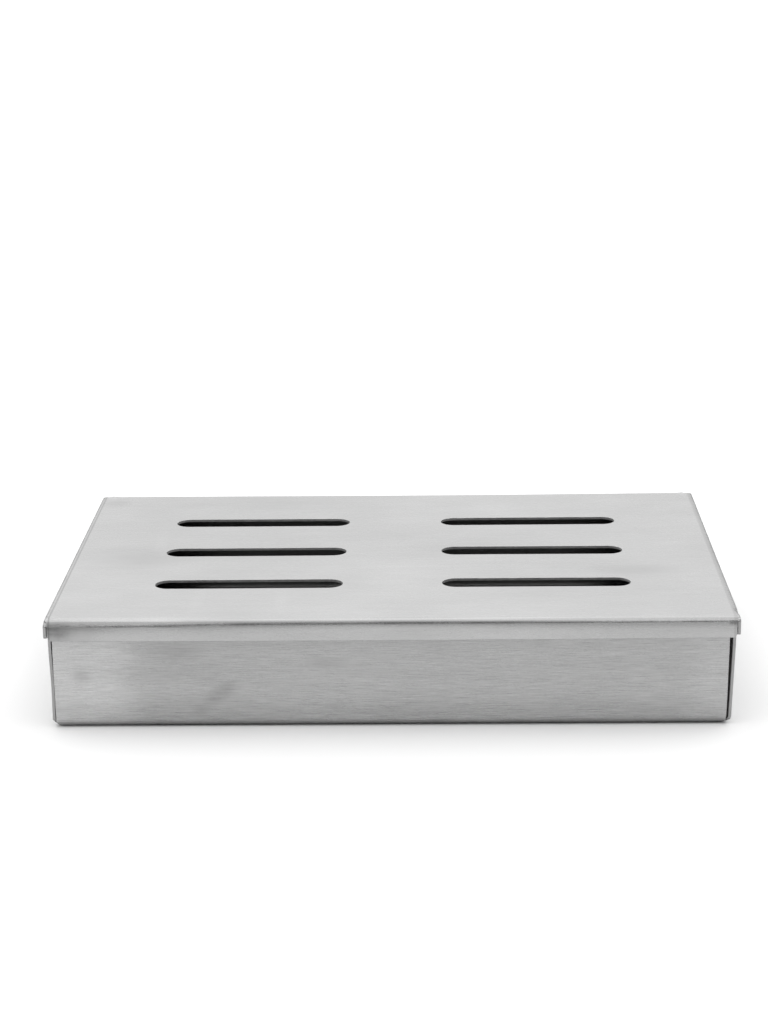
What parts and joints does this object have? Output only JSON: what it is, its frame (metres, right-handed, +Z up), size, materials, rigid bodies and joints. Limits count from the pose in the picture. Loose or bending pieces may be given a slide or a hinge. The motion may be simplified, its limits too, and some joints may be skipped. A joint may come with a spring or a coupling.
{
  "type": "smoker box",
  "caption": "Low folded steel box for wood chips, with an open-cornered tray and a rear-hinged slotted lid on riveted ears.",
  "frame": {"origin": "on the floor, under the middle of the closed box", "axes": "+X along the long side, to the right as seen from the front; +Y from the front to the hinged back; +Z up"},
  "size_m": [0.2126, 0.137, 0.0352],
  "materials": {
    "lid_steel": "stainless sheet, fine straight brushing along the long side",
    "tray_steel": "stainless sheet, fine straight brushing along the blank's length",
    "rivet_steel": "plain stainless, satin from tumbling",
    "washer_steel": "plain stamped stainless"
  },
  "bodies": {
    "tray_body": {"tray": "tray_steel", "pivot_rivet_left": "rivet_steel", "pivot_rivet_right": "rivet_steel", "shim_washer_left": "washer_steel", "shim_washer_right": "washer_steel", "backing_washer_left": "washer_steel", "backing_washer_right": "washer_steel"},
    "lid_body": {"lid": "lid_steel"}
  },
  "joints": [
    {"name": "lid_hinge", "type": "hinge", "parent": "tray_body", "child": "lid_body", "pos_m": [0, 0.0622, 0.0232], "axis": [-1, 0, 0], "range_deg": [0, 94]}
  ]
}
